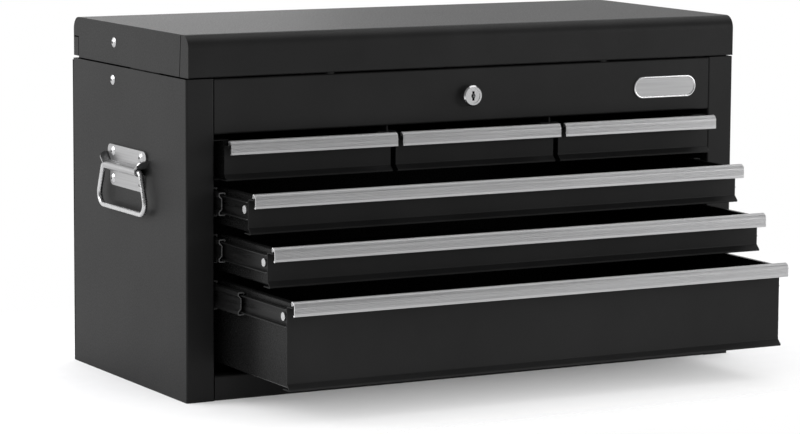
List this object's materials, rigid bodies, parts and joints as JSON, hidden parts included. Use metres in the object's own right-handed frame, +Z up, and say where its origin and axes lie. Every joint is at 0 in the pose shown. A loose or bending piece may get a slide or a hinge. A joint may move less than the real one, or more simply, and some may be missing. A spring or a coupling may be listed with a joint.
{
  "type": "portable tool chest",
  "caption": "Steel tool chest with a hinged lid on folding stays over a top compartment, small and wide drawers with full-width pulls, a cam lock and swinging bail handles.",
  "frame": {"origin": "middle of the cabinet's base, on the surface that it stands on", "axes": "+X to the right seen from the front, -Y out of the front, +Z up"},
  "size_m": [0.6212, 0.4186, 0.3405],
  "materials": {
    "black_paint": "satin black powder coat",
    "slide_black": "black plated slide steel",
    "zinc": "bright zinc plate",
    "chrome": "polished chrome",
    "aluminium": "satin fluted extrusion",
    "rubber": "matt"
  },
  "bodies": {
    "cabinet": {"left_side_panel": "black_paint", "right_side_panel": "black_paint", "back_panel": "black_paint", "bottom_panel": "black_paint", "front_fascia": "black_paint", "compartment_tray": "black_paint", "rear_posts": "black_paint", "drawer_dividers": "black_paint", "small_drawer_runners": "black_paint", "slide_outer_members": "slide_black", "lid_buffers": "rubber", "hinge_cabinet_leaf": "black_paint", "hinge_pin": "zinc", "lock_housing": "chrome", "lock_nut": "chrome", "left_handle_plate": "zinc", "right_handle_plate": "zinc", "handle_rivets": "zinc", "cabinet_stay_rivets": "zinc"},
    "lid": {"lid_shell": "black_paint", "lid_end_panels": "black_paint", "hinge_lid_leaf": "black_paint", "lid_catch": "black_paint", "lid_stay_rivets": "zinc"},
    "lower_stays": {"lower_stay_links": "slide_black", "stay_elbow_rivets": "zinc"},
    "upper_stays": {"upper_stay_links": "slide_black"},
    "lock_core": {"lock_plug": "chrome", "lock_cam": "zinc"},
    "left_bail_loop": {"left_bail": "zinc"},
    "right_bail_loop": {"right_bail": "zinc"},
    "left_small_drawer": {"left_small_drawer_front": "black_paint", "left_small_drawer_tray": "black_paint", "left_small_drawer_pull": "aluminium"},
    "centre_small_drawer": {"centre_small_drawer_front": "black_paint", "centre_small_drawer_tray": "black_paint", "centre_small_drawer_pull": "aluminium"},
    "right_small_drawer": {"right_small_drawer_front": "black_paint", "right_small_drawer_tray": "black_paint", "right_small_drawer_pull": "aluminium"},
    "upper_drawer": {"upper_drawer_front": "black_paint", "upper_drawer_tray": "black_paint", "upper_drawer_pull": "aluminium", "upper_drawer_slides": "slide_black", "upper_drawer_slide_rivets": "zinc"},
    "upper_slide_middles": {"upper_slide_middle_members": "slide_black"},
    "middle_drawer": {"middle_drawer_front": "black_paint", "middle_drawer_tray": "black_paint", "middle_drawer_pull": "aluminium", "middle_drawer_slides": "slide_black", "middle_drawer_slide_rivets": "zinc"},
    "middle_slide_middles": {"middle_slide_middle_members": "slide_black"},
    "lower_drawer": {"lower_drawer_front": "black_paint", "lower_drawer_tray": "black_paint", "lower_drawer_pull": "aluminium", "lower_drawer_slides": "slide_black", "lower_drawer_slide_rivets": "zinc"},
    "lower_slide_middles": {"lower_slide_middle_members": "slide_black"}
  },
  "joints": [
    {"name": "lid_hinge", "type": "hinge", "parent": "cabinet", "child": "lid", "pos_m": [0, 0.1333, 0.30125], "axis": [-1, 0, 0], "range_deg": [0, 95]},
    {"name": "lower_stay_turn", "type": "hinge", "parent": "cabinet", "child": "lower_stays", "pos_m": [0, 0.0345, 0.2863], "axis": [-1, 0, 0], "range_deg": [0, 95]},
    {"name": "upper_stay_turn", "type": "hinge", "parent": "lid", "child": "upper_stays", "pos_m": [0, 0.0345, 0.322], "axis": [-1, 0, 0], "range_deg": [-95, 0]},
    {"name": "lock_turn", "type": "hinge", "parent": "cabinet", "child": "lock_core", "pos_m": [-0.0018, -0.131, 0.2735], "axis": [0, 1, 0], "range_deg": [0, 90]},
    {"name": "left_bail_swing", "type": "hinge", "parent": "cabinet", "child": "left_bail_loop", "pos_m": [-0.3066, -0.001, 0.2053], "axis": [0, 1, 0], "range_deg": [0, 90]},
    {"name": "right_bail_swing", "type": "hinge", "parent": "cabinet", "child": "right_bail_loop", "pos_m": [0.3066, -0.001, 0.2053], "axis": [0, -1, 0], "range_deg": [0, 90]},
    {"name": "left_small_drawer_slide", "type": "slide", "parent": "cabinet", "child": "left_small_drawer", "axis": [0, -1, 0], "range_m": [0, 0.15]},
    {"name": "centre_small_drawer_slide", "type": "slide", "parent": "cabinet", "child": "centre_small_drawer", "axis": [0, -1, 0], "range_m": [0, 0.15]},
    {"name": "right_small_drawer_slide", "type": "slide", "parent": "cabinet", "child": "right_small_drawer", "axis": [0, -1, 0], "range_m": [0, 0.15]},
    {"name": "upper_drawer_slide", "type": "slide", "parent": "cabinet", "child": "upper_drawer", "axis": [0, -1, 0], "range_m": [-0.05, 0.13]},
    {"name": "upper_middle_slide", "type": "slide", "parent": "cabinet", "child": "upper_slide_middles", "axis": [0, -1, 0], "range_m": [-0.015, 0.039]},
    {"name": "middle_drawer_slide", "type": "slide", "parent": "cabinet", "child": "middle_drawer", "axis": [0, -1, 0], "range_m": [-0.089, 0.091]},
    {"name": "middle_middle_slide", "type": "slide", "parent": "cabinet", "child": "middle_slide_middles", "axis": [0, -1, 0], "range_m": [-0.0267, 0.0273]},
    {"name": "lower_drawer_slide", "type": "slide", "parent": "cabinet", "child": "lower_drawer", "axis": [0, -1, 0], "range_m": [-0.128, 0.052]},
    {"name": "lower_middle_slide", "type": "slide", "parent": "cabinet", "child": "lower_slide_middles", "axis": [0, -1, 0], "range_m": [-0.0384, 0.0156]}
  ],
  "couplings": [
    {"joint": "lower_stay_turn", "follows": "lid_hinge", "ratio": 1},
    {"joint": "upper_stay_turn", "follows": "lid_hinge", "ratio": -1},
    {"joint": "upper_middle_slide", "follows": "upper_drawer_slide", "ratio": 0.3},
    {"joint": "middle_middle_slide", "follows": "middle_drawer_slide", "ratio": 0.3},
    {"joint": "lower_middle_slide", "follows": "lower_drawer_slide", "ratio": 0.3}
  ]
}
